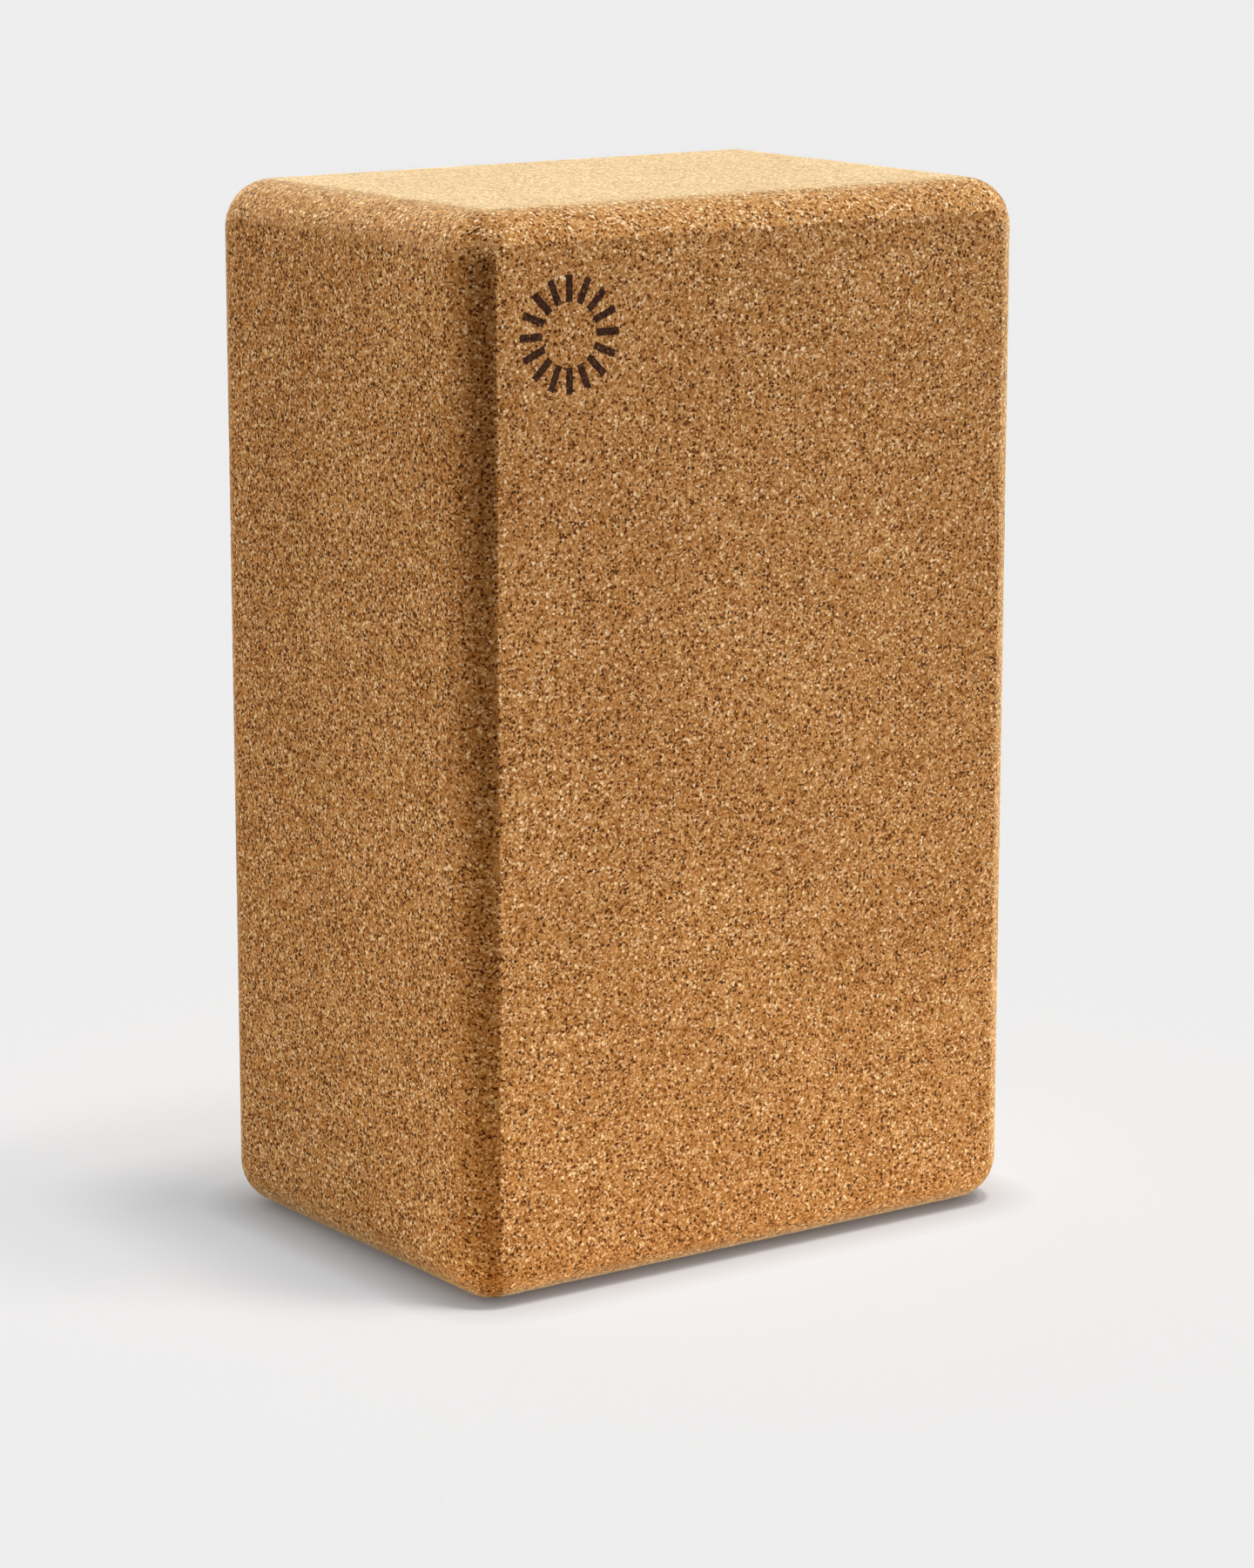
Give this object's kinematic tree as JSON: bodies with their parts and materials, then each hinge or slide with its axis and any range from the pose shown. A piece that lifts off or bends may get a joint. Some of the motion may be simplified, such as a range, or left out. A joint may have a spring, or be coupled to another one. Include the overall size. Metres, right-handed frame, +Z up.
{
  "type": "yoga block",
  "caption": "Solid cork yoga block with rounded edges, a prop that a hand, foot or hip rests on in standing, seated and lying poses.",
  "frame": {"origin": "middle of the bottom end, on the surface that the block stands on", "axes": "+Z up along the longest side, X along the width of the big faces, +Y through the depth from the printed front face to the back"},
  "size_m": [0.144, 0.1016, 0.2286],
  "materials": {
    "cork": "fine-grain agglomerated cork, sanded and unsealed, matt",
    "ink": "dark brown ink soaked into cork, matt"
  },
  "bodies": {
    "root": {"cork_body": "cork", "printed_mark": "ink"}
  },
  "joints": []
}
